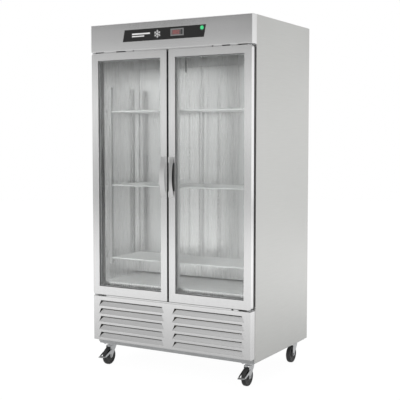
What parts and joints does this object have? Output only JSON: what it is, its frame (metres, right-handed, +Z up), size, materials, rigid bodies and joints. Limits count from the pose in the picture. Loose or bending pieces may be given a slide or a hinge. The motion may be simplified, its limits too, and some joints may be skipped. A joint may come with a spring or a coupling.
{
  "type": "glass door merchandiser",
  "caption": "Stainless reach-in refrigerator: hinged glass doors over a louvred lower grille, wire shelves inside, a control strip in the header and braked swivel casters.",
  "frame": {"origin": "on the floor under the middle of the outer box, which runs from the pulls at the front to the rear edge", "axes": "+X to the viewer's right, +Y from the doors to the back, +Z up"},
  "size_m": [1.036, 0.775, 1.98],
  "materials": {
    "stainless": "brushed, vertical grain",
    "liner_steel": "satin",
    "galvanised": "galvanised sheet",
    "foam": "foamed polyurethane, matte",
    "gasket": "matte",
    "glass": "clear double glazing",
    "dark_plastic": "satin",
    "lamp_green": "translucent",
    "white_plastic": "satin",
    "shelf_wire": "smooth coated wire",
    "zinc": "bright zinc plated",
    "tyre": "moulded, matte",
    "coil": "plain fins",
    "black_paint": "satin black"
  },
  "bodies": {
    "cabinet": {"left_side_panel": "stainless", "right_side_panel": "stainless", "header_fascia": "stainless", "grille_panel": "stainless", "inner_liner": "liner_steel", "front_frame": "liner_steel", "plenum_panel": "liner_steel", "front_left_pilaster": "liner_steel", "front_right_pilaster": "liner_steel", "front_centre_pilaster": "liner_steel", "rear_left_pilaster": "liner_steel", "rear_right_pilaster": "liner_steel", "rear_centre_pilaster": "liner_steel", "top_panel": "galvanised", "back_panel": "galvanised", "base_pan": "galvanised", "insulation": "foam", "control_badge": "dark_plastic", "display_module": "dark_plastic", "condensate_pan": "dark_plastic", "cord_gland": "dark_plastic", "interior_light": "white_plastic", "left_lower_shelf": "shelf_wire", "left_middle_shelf": "shelf_wire", "left_upper_shelf": "shelf_wire", "right_lower_shelf": "shelf_wire", "right_middle_shelf": "shelf_wire", "right_upper_shelf": "shelf_wire", "left_top_hinge": "zinc", "left_bottom_hinge": "zinc", "right_top_hinge": "zinc", "right_bottom_hinge": "zinc", "front_left_caster_plate": "zinc", "front_right_caster_plate": "zinc", "rear_left_caster_plate": "zinc", "rear_right_caster_plate": "zinc", "evaporator_coil": "coil", "compressor": "black_paint", "condenser_coil": "black_paint"},
    "left_door": {"left_door_frame": "stainless", "left_door_glass": "glass", "left_door_gasket": "gasket", "left_door_handle": "stainless"},
    "right_door": {"right_door_frame": "stainless", "right_door_glass": "glass", "right_door_gasket": "gasket", "right_door_handle": "stainless"},
    "button_cap": {"power_button": "lamp_green"},
    "evaporator_rotor": {"evaporator_fan": "white_plastic"},
    "condenser_rotor": {"condenser_fan": "black_paint"},
    "front_left_swivel": {"front_left_caster_fork": "zinc"},
    "front_left_wheel": {"front_left_caster_wheel": "tyre"},
    "front_left_brake": {"front_left_brake_pedal": "zinc"},
    "front_right_swivel": {"front_right_caster_fork": "zinc"},
    "front_right_wheel": {"front_right_caster_wheel": "tyre"},
    "front_right_brake": {"front_right_brake_pedal": "zinc"},
    "rear_left_swivel": {"rear_left_caster_fork": "zinc"},
    "rear_left_wheel": {"rear_left_caster_wheel": "tyre"},
    "rear_right_swivel": {"rear_right_caster_fork": "zinc"},
    "rear_right_wheel": {"rear_right_caster_wheel": "tyre"}
  },
  "joints": [
    {"name": "left_door_hinge", "type": "hinge", "parent": "cabinet", "child": "left_door", "pos_m": [-0.503, -0.3445, 1.124], "axis": [0, 0, -1], "range_deg": [0, 110], "stiffness_Nm_per_rad": 1.2, "springref_deg": -5.73},
    {"name": "right_door_hinge", "type": "hinge", "parent": "cabinet", "child": "right_door", "pos_m": [0.503, -0.3445, 1.124], "axis": [0, 0, 1], "range_deg": [0, 110], "stiffness_Nm_per_rad": 1.2, "springref_deg": -5.73},
    {"name": "button_press", "type": "slide", "parent": "cabinet", "child": "button_cap", "axis": [0, 1, 0], "range_m": [0, 0.0025], "stiffness_N_per_m": 600, "springref_m": -0.0015},
    {"name": "evaporator_fan_spin", "type": "hinge", "parent": "cabinet", "child": "evaporator_rotor", "pos_m": [0, 0.073, 1.85], "axis": [0, 1, 0], "continuous": true},
    {"name": "condenser_fan_spin", "type": "hinge", "parent": "cabinet", "child": "condenser_rotor", "pos_m": [-0.255, -0.1825, 0.279], "axis": [0, 1, 0], "continuous": true},
    {"name": "front_left_caster_swivel", "type": "hinge", "parent": "cabinet", "child": "front_left_swivel", "pos_m": [-0.459, -0.2595, 0.12], "axis": [0, 0, 1], "continuous": true},
    {"name": "front_left_wheel_roll", "type": "hinge", "parent": "front_left_swivel", "child": "front_left_wheel", "pos_m": [-0.459, -0.2895, 0.0508], "axis": [1, 0, 0], "continuous": true},
    {"name": "front_left_brake_release", "type": "hinge", "parent": "front_left_swivel", "child": "front_left_brake", "pos_m": [-0.459, -0.2855, 0.084], "axis": [-1, 0, 0], "range_deg": [0, 12]},
    {"name": "front_right_caster_swivel", "type": "hinge", "parent": "cabinet", "child": "front_right_swivel", "pos_m": [0.459, -0.2595, 0.12], "axis": [0, 0, 1], "continuous": true},
    {"name": "front_right_wheel_roll", "type": "hinge", "parent": "front_right_swivel", "child": "front_right_wheel", "pos_m": [0.459, -0.2895, 0.0508], "axis": [1, 0, 0], "continuous": true},
    {"name": "front_right_brake_release", "type": "hinge", "parent": "front_right_swivel", "child": "front_right_brake", "pos_m": [0.459, -0.2855, 0.084], "axis": [-1, 0, 0], "range_deg": [0, 12]},
    {"name": "rear_left_caster_swivel", "type": "hinge", "parent": "cabinet", "child": "rear_left_swivel", "pos_m": [-0.459, 0.3195, 0.12], "axis": [0, 0, 1], "continuous": true},
    {"name": "rear_left_wheel_roll", "type": "hinge", "parent": "rear_left_swivel", "child": "rear_left_wheel", "pos_m": [-0.459, 0.2895, 0.0508], "axis": [1, 0, 0], "continuous": true},
    {"name": "rear_right_caster_swivel", "type": "hinge", "parent": "cabinet", "child": "rear_right_swivel", "pos_m": [0.459, 0.3195, 0.12], "axis": [0, 0, 1], "continuous": true},
    {"name": "rear_right_wheel_roll", "type": "hinge", "parent": "rear_right_swivel", "child": "rear_right_wheel", "pos_m": [0.459, 0.2895, 0.0508], "axis": [1, 0, 0], "continuous": true}
  ]
}
